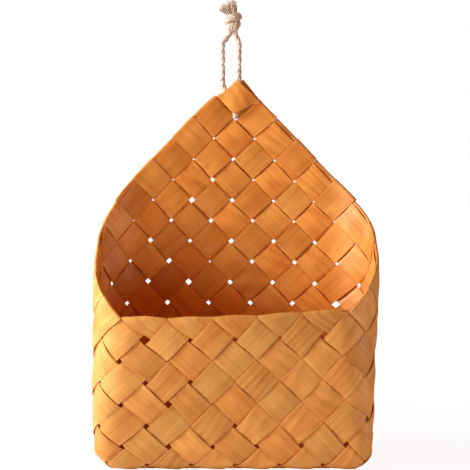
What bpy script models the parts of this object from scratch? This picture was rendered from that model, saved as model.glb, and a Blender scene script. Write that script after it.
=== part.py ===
"""Wall basket plaited on the bias from sixteen wooden straps, with a knotted twine loop.

The walls and the base are one lattice of crossings. A place on the lattice is (u, v) in cells:
u runs round the basket from the middle of the front, v runs up from the fold of the base, and
below that fold v goes on under the base. Each strap is traced over the lattice, and every
crossing says in which layer each strap lies there.
"""

import math

import bmesh
import bpy
from mathutils import Vector

MM = 0.001

# Straps and the clearances between them
STRAP_WIDTH = 24.0 * MM
STRAP_THICKNESS = 0.8 * MM
STRAP_SPACING = 4.6 * MM
LAYER_CLEARANCE = 0.3 * MM
RIM_TRIM = 0.5 * MM
TIP_CLIP = 7.0 * MM

# Body of the basket, counted in cells of the lattice where a name ends in count
BASE_RADIUS = 16.0 * MM
RIM_RADIUS = 42.0 * MM
HALF_WIDTH_COUNT = 3
HALF_DEPTH_COUNT = 1
FRONT_RISE_COUNT = 3.5
GABLE_RISE_COUNT = 1
OPENING_RISE_COUNT = 4.2
EASE_SHARE = 0.19
SLOPE_SHARE = 0.002
FOLD_STEPS = 2
POCKET_STEPS = 4
MARK_STEP = 0.0001 * MM

# Twine loop; its places are x, y and z from the apex of the gable
TWINE_DIAMETER = 4.0 * MM
TWINE_CLEARANCE = 0.3 * MM
TWINE_BEND = 2.4 * MM
AXIS_ABOVE_APEX = 10.0 * MM
LEFT_LEG_X = -11.8 * MM
RIGHT_LEG_X = 4.1 * MM
KNOT_X = -2.1 * MM
KNOT_BOTTOM = 43.7 * MM
KNOT_HEIGHT = 16.2 * MM
KNOT_WIDTH = 16.8 * MM
KNOT_DEPTH = 12.0 * MM
KNOT_BEVEL = 2.4 * MM
LEFT_END_X = -4.7 * MM
RIGHT_END_X = 0.5 * MM
LEFT_TAIL_ROUTE = ((0.0, 0.0), (0.0, 2.5), (-2.2, 5.4), (-6.0, 5.9), (-10.6, 4.4))
RIGHT_TAIL_ROUTE = ((0.0, 0.0), (0.0, 3.0), (-1.6, 8.0), (-4.0, 13.8))
DOME_ANGLES_SHARE = (0.83, 0.5)
KNOT_SIDES = 16

# Worked out from the sizes above
PITCH = STRAP_WIDTH + STRAP_SPACING
CELL = PITCH * math.sqrt(2.0)
LAYER_STEP = STRAP_THICKNESS + LAYER_CLEARANCE
HALF_STRAP = STRAP_WIDTH / 2
TWINE_RADIUS = TWINE_DIAMETER / 2
QUARTER_CELLS = HALF_WIDTH_COUNT + HALF_DEPTH_COUNT
ROUND_CELLS = 4 * QUARTER_CELLS
APEX_CELLS = ROUND_CELLS / 2
HALF_SPAN_CELLS = STRAP_WIDTH / CELL / math.sqrt(2.0)
TWINE_ROOM = TWINE_DIAMETER + 2 * TWINE_CLEARANCE
DIAGONAL = math.sqrt(0.5)

COLLECTION_NAME = "wall_basket"
STRAP_ROUGHNESS = 0.45
STRAP_COLOURS = {
    "right": (0.62, 0.30, 0.09, 1.0),
    "left": (0.72, 0.38, 0.13, 1.0),
}
TWINE_COLOUR = (0.62, 0.47, 0.30, 1.0)
TWINE_ROUGHNESS = 0.9


def clear_scene():
    """Removes every object that the file opened with."""
    for item in list(bpy.data.objects):
        bpy.data.objects.remove(item, do_unlink=True)


def make_material(name, colour, roughness):
    """A Principled material with one colour."""
    material = bpy.data.materials.new(name)
    material.use_nodes = True
    shader = material.node_tree.nodes["Principled BSDF"]
    shader.inputs["Base Color"].default_value = colour
    shader.inputs["Roughness"].default_value = roughness
    shader.inputs["Metallic"].default_value = 0.0
    return material


# Places on the lattice

def side_at(u):
    """Number of the wall at u: 0 front, 1 right, 2 back, 3 left."""
    u = (u + HALF_WIDTH_COUNT) % ROUND_CELLS - HALF_WIDTH_COUNT
    for side in range(3):
        if u < side * QUARTER_CELLS + half_run(side):
            return side
    return 3


def half_run(side):
    """Half of the length of a wall, in cells."""
    return HALF_DEPTH_COUNT if side % 2 else HALF_WIDTH_COUNT


def half_out(side):
    """Distance of a wall from the middle of the basket, in cells."""
    return HALF_WIDTH_COUNT if side % 2 else HALF_DEPTH_COUNT


def turn(side, along, out):
    """Turns a place along and out of a wall into x and y."""
    x, y = along, -out
    for _ in range(side):
        x, y = -y, x
    return x, y


def unturn(side, x, y):
    """The reverse of turn."""
    for _ in range(side):
        x, y = y, -x
    return x, -y


def eased(share):
    """A straight ramp from 0 to 1 with its two ends eased."""
    share = min(max(share, 0.0), 1.0)
    if share > 0.5:
        return 1.0 - eased(1.0 - share)
    if share < EASE_SHARE:
        return share**2 / (2.0 * EASE_SHARE) / (1.0 - EASE_SHARE)
    return (share - EASE_SHARE / 2) / (1.0 - EASE_SHARE)


def corner_radius(v):
    """Radius of the upright corners at height v, which open towards the rim."""
    return BASE_RADIUS + (RIM_RADIUS - BASE_RADIUS) * eased(v / OPENING_RISE_COUNT)


def bend(distance, flat, radius):
    """The flat part of a distance from the middle of a face, and the tangent of its bend."""
    over = max(abs(distance) - flat, 0.0)
    kept = math.copysign(min(abs(distance), flat), distance)
    return kept, math.copysign(math.tan(over / radius), distance)


def section(side, along, radius):
    """Place along and out of a wall on a level section whose corners have this radius."""
    arc = radius * math.pi / 4
    kept, slope = bend(along, half_run(side) * CELL - arc, radius)
    reach = radius / math.hypot(slope, 1.0)
    return kept + slope * reach, half_out(side) * CELL - arc + reach


def along_wall(side, u):
    """Distance of u from the middle of a wall, in cells."""
    return (u - side * QUARTER_CELLS + APEX_CELLS) % ROUND_CELLS - APEX_CELLS


def wall_point(u, v):
    """Middle of the wall at (u, v), for v of 0 or more."""
    side = side_at(u)
    along = along_wall(side, u) * CELL
    arc = BASE_RADIUS * math.pi / 4
    kept, slope = bend(along, half_run(side) * CELL - arc, BASE_RADIUS)
    fall = math.tan(max(arc - v * CELL, 0.0) / BASE_RADIUS)
    reach = BASE_RADIUS / math.sqrt(slope**2 + fall**2 + 1.0)
    opened = corner_radius(v)
    wide, far = section(side, along, opened)
    narrow, near = section(side, along, BASE_RADIUS)
    tangent = kept + slope * reach + wide - narrow
    out = half_out(side) * CELL - arc + reach + far - near
    x, y = turn(side, tangent, out)
    z = BASE_RADIUS - fall * reach + max(v * CELL - arc, 0.0)
    return Vector((x, y - (opened - BASE_RADIUS) * (1.0 - math.pi / 4), z))


def base_point(x_cells, y_cells):
    """Middle of the base at a place given in cells from its centre."""
    arc = BASE_RADIUS * math.pi / 4
    x_kept, x_slope = bend(x_cells * CELL, HALF_WIDTH_COUNT * CELL - arc, BASE_RADIUS)
    y_kept, y_slope = bend(y_cells * CELL, HALF_DEPTH_COUNT * CELL - arc, BASE_RADIUS)
    reach = BASE_RADIUS / math.sqrt(x_slope**2 + y_slope**2 + 1.0)
    return Vector((x_kept + x_slope * reach, y_kept + y_slope * reach, BASE_RADIUS - reach))


def surface_point(u, v, side):
    """Middle of the wall or base at (u, v), seen from the wall with this number."""
    if v >= 0.0:
        return wall_point(u, v)
    return base_point(*turn(side, u - side * QUARTER_CELLS, half_out(side) + v))


def surface_frame(u, v, side):
    """The point at (u, v), the outward normal and the two directions of u and v."""
    along = surface_point(u + SLOPE_SHARE, v, side) - surface_point(u - SLOPE_SHARE, v, side)
    upward = surface_point(u, v + SLOPE_SHARE, side) - surface_point(u, v - SLOPE_SHARE, side)
    normal = along.cross(upward).normalized()
    return surface_point(u, v, side), normal, along.normalized(), upward.normalized()


# The plait: straps, layers and ends

def rim_at(u):
    """Height of the rim at u: level in front, then rising round the sides to the apex."""
    from_front = abs((u + APEX_CELLS) % ROUND_CELLS - APEX_CELLS)
    return max(FRONT_RISE_COUNT, from_front + GABLE_RISE_COUNT)


def cell_key(place):
    """Whole-number name of a crossing."""
    return round(2 * place[1]) % (2 * ROUND_CELLS), round(2 * place[2])


def is_front_end(place):
    """Whether a strap that ends at this crossing ends on the level front rim."""
    return place[2] == FRONT_RISE_COUNT and rim_at(place[1]) == FRONT_RISE_COUNT


def flipped(place):
    """The same crossing with its strap run the other way."""
    side, u, v, rise_u, rise_v = place
    return side, u, v, -rise_u, -rise_v


def moved(place, step_u, step_v):
    """The crossing at this many cells from another, with the strap's direction kept."""
    side, u, v, rise_u, rise_v = place
    return side, u + step_u, v + step_v, rise_u, rise_v


def family(place):
    """R for a strap that leans to the right as seen from outside, L for the other way."""
    return "R" if place[3] * place[4] > 0 else "L"


def wall_run(side, u, rise):
    """Crossings of a strap from the base fold up to the rim."""
    places = []
    while len(places) / 2 <= rim_at(u + rise * len(places) / 2):
        climbed = len(places) / 2
        places.append((side, u + rise * climbed, climbed, rise, 1))
    return places


def base_run(side, u, rise):
    """Crossings under the base, then the wall, place and direction where the strap comes out."""
    x, y = turn(side, u - side * QUARTER_CELLS, half_out(side))
    step_x, step_y = turn(side, rise, -1)
    places = []
    while True:
        x += step_x / 2
        y += step_y / 2
        for wall in range(4):
            along, out = unturn(wall, x, y)
            along_step, out_step = unturn(wall, step_x, step_y)
            if out == half_out(wall) and out_step > 0:
                return places, (wall, along + wall * QUARTER_CELLS, along_step)
        places.append((0, x, -y - HALF_DEPTH_COUNT, step_x, -step_y))


def all_straps():
    """Every strap once, as its crossings from one rim down, under the base and up again."""
    straps = []
    seen = set()
    for side in range(4):
        for step in range(2 * half_run(side)):
            u = side * QUARTER_CELLS - half_run(side) + step + 1 / 2
            for rise in (-1, 1):
                under, out = base_run(side, u, rise)
                if out in seen:
                    continue
                seen.add((side, u, -rise))
                down = [flipped(place) for place in reversed(wall_run(side, u, -rise))]
                straps.append(down + under + wall_run(*out))
    return straps


def is_apex_end(place):
    """Whether this is the strap end that folds to the inside at the top of the gable."""
    return family(place) == "R" and place[1] % ROUND_CELLS == APEX_CELLS


def tail_places(place):
    """Crossings that hold the tail of a strap end, each with what the tail lies on there."""
    own = family(place)
    other = "L" if own == "R" else "R"
    own_outside = (cell_key(place)[0] % 2 == 1) == (own == "R")
    if is_front_end(place):
        under = moved(place, 1 / 2, -1 / 2)
        return [(place, other), (under, other)] if own == "R" else []
    if is_apex_end(place):
        return [(place, "under R")]
    back = [moved(place, -place[3] * n / 2, -n / 2) for n in range(2 if own_outside else 3)]
    lies_on = [own if own_outside else other] + [own] * (len(back) - 1)
    return list(zip(back, lies_on))


def find_tails(straps):
    """For each crossing that holds a tail, its name and what it lies on."""
    tails = {}
    for strap in straps:
        for end in (flipped(strap[0]), strap[-1]):
            for place, lies_on in tail_places(end):
                tails.setdefault(cell_key(place), []).append((family(end) + " tail", lies_on))
    return tails


def level_at(place, who, tails):
    """Height of a strap or a tail over the middle of the wall at one crossing."""
    key = cell_key(place)
    order = ["L", "R"] if key[0] % 2 else ["R", "L"]
    pocket = False
    for name, lies_on in tails.get(key, []):
        if lies_on == "under R":
            order.insert(order.index("R"), name)
            pocket = name == who
        else:
            order.insert(order.index(lies_on) + 1, name)
    if pocket:
        return level_at(place, "R", tails) - STRAP_THICKNESS - TWINE_ROOM
    return (order.index(who) - (len(order) - 1) / 2) * LAYER_STEP


def is_curved(place):
    """Whether a crossing lies on a bend of the walls or the base."""
    side, u, v, _, _ = place
    if v <= 0.0:
        x, y = turn(side, u - side * QUARTER_CELLS, half_out(side) + v)
        bent = BASE_RADIUS * math.pi / 4 / CELL + HALF_SPAN_CELLS
        return abs(x) > HALF_WIDTH_COUNT - bent or abs(y) > HALF_DEPTH_COUNT - bent
    wall = side_at(u)
    bent = corner_radius(v) * math.pi / 4 / CELL + HALF_SPAN_CELLS
    return abs(along_wall(wall, u)) > half_run(wall) - bent or v < 2 * HALF_SPAN_CELLS


# Strap meshes

def ribbon_mesh(name, rows):
    """Closes rows of points across a strap to one solid.

    A row is its split and, for each column, a mark, a centre and the direction of the face.
    Where two rows have the same mark in a column, they share the point.
    """
    mesh = bmesh.new()
    half = STRAP_THICKNESS / 2
    built = []
    for split, points in rows:
        row = {}
        for column in sorted(points):
            mark, centre, facing = points[column]
            if built and column in built[-1][1] and built[-1][1][column][0] == mark:
                row[column] = built[-1][1][column]
            else:
                top = mesh.verts.new(centre + facing * half)
                low = mesh.verts.new(centre - facing * half)
                row[column] = (mark, (top, low))
        built.append((split, row))

    def face(corners, turned):
        if len(set(corners)) == 3:
            mesh.faces.new(corners[::-1] if turned else corners)

    def square(a, b, c, d, turned, split):
        if split:
            face((a, b, c), turned)
            face((a, c, d), turned)
        else:
            face((a, b, d), turned)
            face((b, c, d), turned)

    for (_, low), (split, high) in zip(built, built[1:]):
        for layer, turned in ((0, False), (1, True)):
            near = [low[column][1][layer] for column in sorted(low)]
            far = [high[column][1][layer] for column in sorted(high)]
            if len(near) == len(far):
                for a, b, c, d in zip(near, near[1:], far[1:], far):
                    square(a, b, c, d, turned, split)
            elif len(near) < len(far):
                for corners in ((near[0], far[1], far[0]), (near[0], near[1], far[1]),
                                (near[1], far[2], far[1])):
                    face(corners, turned)
            else:
                for corners in ((near[0], near[1], far[0]), (near[1], far[1], far[0]),
                                (near[1], near[2], far[1])):
                    face(corners, turned)
        for column, turned in ((-1, True), (1, False)):
            a, c = low[column][1], high[column][1]
            if a is not c:
                square(a[0], a[1], c[1], c[0], turned, True)
    for row, turned in ((built[0][1], False), (built[-1][1], True)):
        pairs = [row[column][1] for column in sorted(row)]
        for a, b in zip(pairs, pairs[1:]):
            square(a[0], a[1], b[1], b[0], turned, True)
    data = bpy.data.meshes.new(name)
    mesh.to_mesh(data)
    mesh.free()
    return data


def splits_first(place):
    """Whether the squares of a crossing are split from their first corner to their third.

    Under and at the base fold they are split level, and on the walls upright.
    """
    return (place[2] <= 0.0) == (family(place) == "R")


def lattice_place(place, along, across):
    """(u, v) at distances along a strap and to its right, from one of its crossings."""
    _, u, v, rise_u, rise_v = place
    step = DIAGONAL / CELL
    return u + (rise_u * along + rise_v * across) * step, v + (rise_v * along - rise_u * across) * step


def point_mark(place, reach, level):
    """Name of a point, the same for each row that reaches it."""
    return place[1], place[2], round(reach / MARK_STEP), round(level / MARK_STEP)


def strap_row(place, along, level, columns, limit):
    """One row of a strap, at a distance along it, cut off where the limit says."""
    points = {}
    for column in columns:
        across = column * HALF_STRAP
        reach = min(along, limit(across)) if limit else along
        u, v = lattice_place(place, reach, across)
        point, normal, _, _ = surface_frame(u, v, place[0])
        points[column] = (point_mark(place, reach, level), point + normal * level, normal)
    return splits_first(place), points


def crossing_rows(place, level, limit=None):
    """The rows of a strap over one crossing, with one along its middle on a bend."""
    full = limit is not None or is_curved(place)
    steps = (-1, 0, 1) if full else (-1, 1)
    return [strap_row(place, step * HALF_STRAP, level, steps, limit) for step in steps]


def fold_limit(place):
    """How far along a strap its fold lies, as a function of the distance across it."""
    if is_front_end(place):
        return lambda across: across
    if is_apex_end(place):
        return lambda across: HALF_STRAP
    return lambda across: PITCH / 2


def fold_rows(place, level, tail_level, steps):
    """The rows of the turn from a strap to its tail."""
    limit = fold_limit(place)
    up_u, up_v = (0.0, 1.0) if is_front_end(place) else (place[3] * DIAGONAL, place[4] * DIAGONAL)
    radius = abs(tail_level - level) / 2
    way = math.copysign(1.0, tail_level - level)
    rows = []
    for step in range(steps + 1):
        angle = math.pi * step / steps
        rise = radius * math.sin(angle) / CELL
        height = level + way * radius * (1.0 - math.cos(angle))
        points = {}
        for column in (-1, 0, 1):
            across = column * HALF_STRAP
            u, v = lattice_place(place, limit(across), across)
            _, normal, along_u, along_v = surface_frame(u, v, place[0])
            away = (along_u * up_u + along_v * up_v).normalized()
            facing = normal * math.cos(angle) - away * (way * math.sin(angle))
            point = surface_point(u + up_u * rise, v + up_v * rise, place[0])
            at_end = step in (0, steps)
            mark = point_mark(place, limit(across), height) if at_end else ("turn", step, column)
            points[column] = (mark, point + normal * height, facing)
        rows.append((True, points))
    return rows


def front_tail_rows(place, tails):
    """The tail of a strap that is folded over the level front rim, down along its neighbour."""
    rows = []
    for at, _ in tail_places(place):
        level = level_at(at, "R tail", tails)
        for step in (0, 1) if at == place else (-1, 0):
            points = {}
            for column in (-1, 0, 1):
                across = column * HALF_STRAP
                reach = max(step * HALF_STRAP, across) if at == place else step * HALF_STRAP
                u, v = lattice_place(place, reach, across)
                v = at[2] - (v - place[2])
                u = at[1] + (u - place[1])
                point, normal, _, _ = surface_frame(u, v, place[0])
                points[column] = (point_mark(at, reach, level), point + normal * level, -normal)
            rows.append((False, points))
    return rows


def gable_tail_rows(place, tails):
    """The tail of a strap that is folded back along itself over a slanted rim."""
    rows = []
    held = tail_places(place)
    limit = fold_limit(place)
    for number, (at, _) in enumerate(held):
        level = level_at(at, family(place) + " tail", tails)
        full = number == 0 or is_curved(at)
        steps = (1, 0, -1) if full else (1, -1)
        if number and number == len(held) - 1:
            steps = (1, 0)
        for step in steps:
            points = {}
            for column in (-1, 0, 1) if full else (-1, 1):
                across = column * HALF_STRAP
                clip = TIP_CLIP if len(held) == 1 and step < 0 < column else 0.0
                reach = min(step * HALF_STRAP + clip, limit(across))
                u, v = lattice_place(at, reach, across)
                point, normal, _, _ = surface_frame(u, v, place[0])
                points[column] = (point_mark(at, reach, level), point + normal * level, -normal)
            rows.append((not splits_first(at), points))
    return rows


def half_strap_rows(places, tails):
    """The rows of a strap from its middle out to its end, with its fold and its tail."""
    rows = []
    for place in places[:-1]:
        rows += crossing_rows(place, level_at(place, family(place), tails))
    last = places[-1]
    level = level_at(last, family(last), tails)
    if is_front_end(last) and family(last) == "L":
        return rows + crossing_rows(last, level, lambda across: -across - RIM_TRIM / DIAGONAL)
    tail_level = level_at(last, family(last) + " tail", tails)
    rows += crossing_rows(last, level, fold_limit(last))
    rows += fold_rows(last, level, tail_level, POCKET_STEPS if is_apex_end(last) else FOLD_STEPS)
    return rows + (front_tail_rows if is_front_end(last) else gable_tail_rows)(last, tails)


def strap_rows(places, tails):
    """All rows of one strap, from end to end."""
    middle = len(places) // 2
    back = half_strap_rows([flipped(place) for place in reversed(places[:middle])], tails)
    front = half_strap_rows(places[middle:], tails)
    turned = []
    for number in range(len(back) - 1, -1, -1):
        points = {-column: point for column, point in back[number][1].items()}
        split = back[min(number + 1, len(back) - 1)][0]
        turned.append((split, points))
    return turned + front


def lean_of(places):
    """Which way a strap leans where it crosses the base, seen from the front and above."""
    under = [place for place in places if place[2] < 0.0] or [places[len(places) // 2]]
    return "right" if family(under[0]) == "R" else "left"


def make_straps(collection):
    """The sixteen straps, each an object of its own."""
    straps = all_straps()
    tails = find_tails(straps)
    counts = {"right": 0, "left": 0}
    made = []
    for places in straps:
        lean = lean_of(places)
        counts[lean] += 1
        name = f"{lean}_leaning_strap_{counts[lean]}"
        strap = bpy.data.objects.new(name, ribbon_mesh(name, strap_rows(places, tails)))
        strap.data.materials.append(make_material(name, STRAP_COLOURS[lean], STRAP_ROUGHNESS))
        collection.objects.link(strap)
        made.append(strap)
    return made


# Twine

def smooth_route(points, spans):
    """Points along a smooth curve through the points of a route."""
    padded = [2 * points[0] - points[1], *points, 2 * points[-1] - points[-2]]
    route = []
    for a, b, c, d in zip(padded, padded[1:], padded[2:], padded[3:]):
        for n in range(spans):
            s = n / spans
            route.append((2 * b + (c - a) * s + (2 * a - 5 * b + 4 * c - d) * s**2
                          + (3 * b - a - 3 * c + d) * s**3) / 2)
    return route + [points[-1]]


def make_twine(name, collection, points, shares=None):
    """A length of twine as a tube along its points, with the width shared out along them."""
    curve = bpy.data.curves.new(name, "CURVE")
    curve.dimensions = "3D"
    curve.bevel_depth = TWINE_RADIUS
    curve.bevel_resolution = 2
    curve.use_fill_caps = True
    spline = curve.splines.new("POLY")
    spline.points.add(len(points) - 1)
    for number, (point, target) in enumerate(zip(points, spline.points)):
        target.co = (*point, 1.0)
        target.radius = shares[number] if shares else 1.0
    curve.materials.append(make_material(name, TWINE_COLOUR, TWINE_ROUGHNESS))
    twine = bpy.data.objects.new(name, curve)
    collection.objects.link(twine)
    return twine


def apex_point():
    """Corner of the rim at the top of the gable, in the middle of the wall."""
    return surface_point(APEX_CELLS, rim_at(APEX_CELLS), 2)


def twine_depths():
    """How far behind and in front of the wall's middle the twine lies at the apex."""
    behind = 3 * LAYER_STEP / 2 + STRAP_THICKNESS / 2 + TWINE_CLEARANCE + TWINE_RADIUS
    inside = LAYER_STEP / 2 + STRAP_THICKNESS / 2 + TWINE_CLEARANCE + TWINE_RADIUS
    return behind, -inside


def axis_point():
    """Middle of the loop's axis, from the apex: it swings where the two legs leave the gable."""
    behind, inside = twine_depths()
    return Vector(((LEFT_LEG_X + RIGHT_LEG_X) / 2, (behind + inside) / 2, AXIS_ABOVE_APEX))


def make_anchor(collection):
    """The twine where the apex holds it: down behind, through the hole and up in the pocket."""
    behind, inside = twine_depths()
    axis_y = axis_point().y
    hole = -CELL * (rim_at(APEX_CELLS) - APEX_CELLS)
    top = AXIS_ABOVE_APEX - TWINE_RADIUS - TWINE_CLEARANCE
    quarter = [(math.sin(step * math.pi / 6), 1.0 - math.cos(step * math.pi / 6)) for step in range(4)]
    down = [(behind - (1.0 - math.cos(n * math.pi / 6)) * TWINE_BEND,
             hole + (1.0 - math.sin(n * math.pi / 6)) * TWINE_BEND) for n in range(4)]
    up = [(inside + (1.0 - across) * TWINE_BEND, hole + rise * TWINE_BEND) for across, rise in quarter]
    route = [
        (LEFT_LEG_X, axis_y, top),
        (LEFT_LEG_X, axis_y, top * 3 / 4),
        (LEFT_LEG_X, (axis_y + behind) / 2, 0.0),
        (LEFT_LEG_X, behind, hole / 5),
        (LEFT_LEG_X * 3 / 4, behind, hole * 2 / 5),
        (LEFT_LEG_X / 4, behind, hole * 3 / 4),
        *[(0.0, y, z) for y, z in down],
        *[(0.0, y, z) for y, z in up],
        (RIGHT_LEG_X / 4, inside, hole * 3 / 4),
        (RIGHT_LEG_X, inside, hole / 3),
        (RIGHT_LEG_X, inside, hole / 8),
        (RIGHT_LEG_X, (axis_y + 2 * inside) / 3, 0.0),
        (RIGHT_LEG_X, axis_y, top * 3 / 4),
        (RIGHT_LEG_X, axis_y, top),
    ]
    apex = apex_point()
    return make_twine("captive_twine", collection, smooth_route([apex + Vector(p) for p in route], 2))


def domed(points):
    """Puts a rounded end before a tube's first point; returns its points and their widths."""
    away = (points[0] - points[1]).normalized()
    angles = [share * math.pi / 2 for share in DOME_ANGLES_SHARE]
    dome = [(math.sin(angle), math.cos(angle)) for angle in angles]
    tips = [points[0] + away * (TWINE_RADIUS * reach) for reach, _ in dome]
    return tips + points, [width for _, width in dome] + [1.0] * len(points)


def make_hanger(collection):
    """The free loop above its axis: two legs, the knot and its two frayed tails."""
    axis = axis_point()
    pivot = bpy.data.objects.new("loop_axis", None)
    pivot.location = apex_point() + axis
    collection.objects.link(pivot)
    knot_low = KNOT_BOTTOM - axis.z
    knot_top = knot_low + KNOT_HEIGHT
    leg_top = knot_low - TWINE_CLEARANCE
    legs = (("left_loop_leg", LEFT_LEG_X, LEFT_END_X), ("right_loop_leg", RIGHT_LEG_X, RIGHT_END_X))
    made = []
    for name, low_x, high_x in legs:
        route = [(low_x, 0.0), (low_x, leg_top / 5), (low_x, leg_top * 3 / 5),
                 ((low_x + high_x) / 2, leg_top * 3 / 4), (high_x, leg_top * 9 / 10), (high_x, leg_top)]
        points = smooth_route([Vector((x - axis.x, 0.0, z)) for x, z in route], 2)
        made.append(make_twine(name, collection, *domed(points)))
    tails = (("left_twine_tail", LEFT_END_X, LEFT_TAIL_ROUTE),
             ("right_twine_tail", RIGHT_END_X, RIGHT_TAIL_ROUTE))
    for name, x, route in tails:
        foot = Vector((x - axis.x, 0.0, knot_top + TWINE_CLEARANCE))
        points = [foot + Vector((across * MM, 0.0, rise * MM)) for across, rise in route]
        made.append(make_twine(name, collection, smooth_route(points, 2)))
    made.append(make_knot(collection, Vector((KNOT_X - axis.x, 0.0, (knot_low + knot_top) / 2))))
    for piece in made:
        piece.parent = pivot
    return pivot


def make_knot(collection, centre):
    """The knot as a plain rounded drum that its twine fills."""
    mesh = bmesh.new()
    bmesh.ops.create_cone(mesh, cap_ends=True, segments=KNOT_SIDES, radius1=KNOT_WIDTH / 2,
                          radius2=KNOT_WIDTH / 2, depth=KNOT_HEIGHT)
    bmesh.ops.scale(mesh, vec=(1.0, KNOT_DEPTH / KNOT_WIDTH, 1.0), verts=mesh.verts)
    ends = [edge for edge in mesh.edges if abs(edge.verts[0].co.z - edge.verts[1].co.z) < MARK_STEP]
    bmesh.ops.bevel(mesh, geom=ends, offset=KNOT_BEVEL, segments=2, profile=0.5, affect="EDGES")
    bmesh.ops.translate(mesh, vec=centre, verts=mesh.verts)
    data = bpy.data.meshes.new("twine_knot")
    mesh.to_mesh(data)
    mesh.free()
    data.materials.append(make_material("twine_knot", TWINE_COLOUR, TWINE_ROUGHNESS))
    knot = bpy.data.objects.new("twine_knot", data)
    collection.objects.link(knot)
    return knot


def stand_on_origin(body, others):
    """Moves everything so that the body stands on the origin, with its box centred on it."""
    bpy.context.view_layer.update()
    corners = [Vector(corner) for item in body for corner in item.bound_box]
    low = Vector([min(corner[n] for corner in corners) for n in range(3)])
    high = Vector([max(corner[n] for corner in corners) for n in range(3)])
    shift = Vector((-(low.x + high.x) / 2, -(low.y + high.y) / 2, -low.z))
    for item in [*body, *others]:
        item.location += shift
    bpy.context.view_layer.update()


def main():
    clear_scene()
    collection = bpy.data.collections.new(COLLECTION_NAME)
    bpy.context.scene.collection.children.link(collection)
    body = [*make_straps(collection), make_anchor(collection)]
    pivot = make_hanger(collection)
    stand_on_origin(body, [pivot])


main()
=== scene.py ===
"""Wall basket of plaited wood straps with a twine loop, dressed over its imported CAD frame.

The straps are traced over the same lattice of crossings as in the part's source. A place on the
lattice is (side, u, v, rise_u, rise_v): u runs round the basket in cells from the middle of the
front, v runs up from the fold of the base, and the last two say which way the strap runs.
"""

import math
import random

import bmesh
import bpy
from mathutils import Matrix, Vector


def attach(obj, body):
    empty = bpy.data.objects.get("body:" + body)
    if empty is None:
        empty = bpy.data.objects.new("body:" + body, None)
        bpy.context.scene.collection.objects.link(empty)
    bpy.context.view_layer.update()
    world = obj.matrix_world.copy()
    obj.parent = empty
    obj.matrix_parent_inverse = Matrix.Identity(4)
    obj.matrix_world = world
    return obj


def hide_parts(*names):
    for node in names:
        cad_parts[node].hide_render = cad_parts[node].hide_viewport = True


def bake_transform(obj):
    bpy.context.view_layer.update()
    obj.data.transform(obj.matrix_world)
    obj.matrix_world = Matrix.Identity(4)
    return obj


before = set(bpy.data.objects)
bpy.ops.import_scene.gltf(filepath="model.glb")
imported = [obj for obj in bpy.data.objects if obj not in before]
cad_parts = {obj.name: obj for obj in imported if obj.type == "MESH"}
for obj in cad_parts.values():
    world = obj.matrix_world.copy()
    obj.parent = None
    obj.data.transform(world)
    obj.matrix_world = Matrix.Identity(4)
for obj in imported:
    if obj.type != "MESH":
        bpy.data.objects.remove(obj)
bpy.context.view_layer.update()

bl_info = {
    "name": "Wall Basket",
    "version": (1, 0, 0),
    "blender": (4, 5, 0),
    "location": "3D View > Sidebar > Basket",
    "description": "Builds a plaited wall basket of wood straps with a knotted twine loop",
    "category": "Object",
}

MM = 0.001

# The lattice, as in the part's source
STRAP_WIDTH = 24.0 * MM
STRAP_THICKNESS = 0.8 * MM
STRAP_SPACING = 4.6 * MM
LAYER_STEP = 1.1 * MM
RIM_TRIM = 0.5 * MM
BASE_RADIUS = 16.0 * MM
RIM_RADIUS = 42.0 * MM
HALF_WIDTH_COUNT = 3
HALF_DEPTH_COUNT = 1
FRONT_RISE_COUNT = 3.5
GABLE_RISE_COUNT = 1
OPENING_RISE_COUNT = 4.2
EASE_SHARE = 0.19
SLOPE_SHARE = 0.004
TWINE_ROOM = 4.6 * MM
BODY_SHIFT = Vector((0.0, 2.591 * MM, 0.950 * MM))

PITCH = STRAP_WIDTH + STRAP_SPACING
CELL = PITCH * math.sqrt(2.0)
HALF_STRAP = STRAP_WIDTH / 2
QUARTER_COUNT = HALF_WIDTH_COUNT + HALF_DEPTH_COUNT
ROUND_COUNT = 4 * QUARTER_COUNT
APEX_COUNT = ROUND_COUNT / 2
DIAGONAL = math.sqrt(0.5)

# How the plait leans and drifts from an even lattice, in cells but for the drift itself
FRONT_TILT_SHARE = 0.0235
RIM_TILT_SHARE = 0.0075
RIM_TILT_FROM = 3.0
TILT_REACH = 7.0
TILT_FADE = 4.0
BACK_DRIFT = 6.0 * MM
DRIFT_REACH = 4.0
DRIFT_FADE = 2.0
DRIFT_FADE_SHARE = 0.16

# Listed shifts: u and v of a place, how far it moves along u and v in mm, its reach in cells
HAND_SHIFTS = (
    (2.7, 2.4, -4.4, 0.6, 0.8),
    (-2.6, 2.6, -2.4, 0.0, 0.6),
    (0.0, 0.4, 0.0, -2.0, 1.1),
    (0.3, 3.6, 0.0, -2.6, 1.2),
    (-1.3, 3.6, 0.0, -2.3, 0.8),
    (8.0, 9.0, -5.2, -2.6, 0.9),
    (8.6, 8.4, 0.0, 1.6, 0.5),
    (7.4, 8.4, 0.0, -2.4, 0.6),
    (5.2, 6.0, 3.1, -1.6, 1.3),
    (6.4, 7.0, -1.0, -2.4, 1.3),
    (5.2, 4.2, -1.6, -2.7, 1.3),
    (6.6, 4.6, -2.3, 0.6, 1.3),
    (9.4, 7.2, -2.4, -0.9, 1.3),
    (10.7, 6.0, -5.1, 0.8, 1.3),
    (10.6, 4.2, -1.6, 3.0, 1.3),
)

# How far the side walls stand out: which side, height in cells, distance in mm, reach in cells
SIDE_SWELLS = ((-1, 1.2, 5.0, 1.6), (-1, 5.4, -2.8, 1.0), (1, 1.2, 1.6, 1.6), (1, 3.9, 2.0, 0.9))
SWELL_FROM = 2.0

# How far the back comes forward at this distance from its middle, and where that stops growing
BACK_HOLLOW = 10.0 * MM
HOLLOW_REACH = 100.0 * MM
HOLLOW_LIMIT = 1.1

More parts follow.
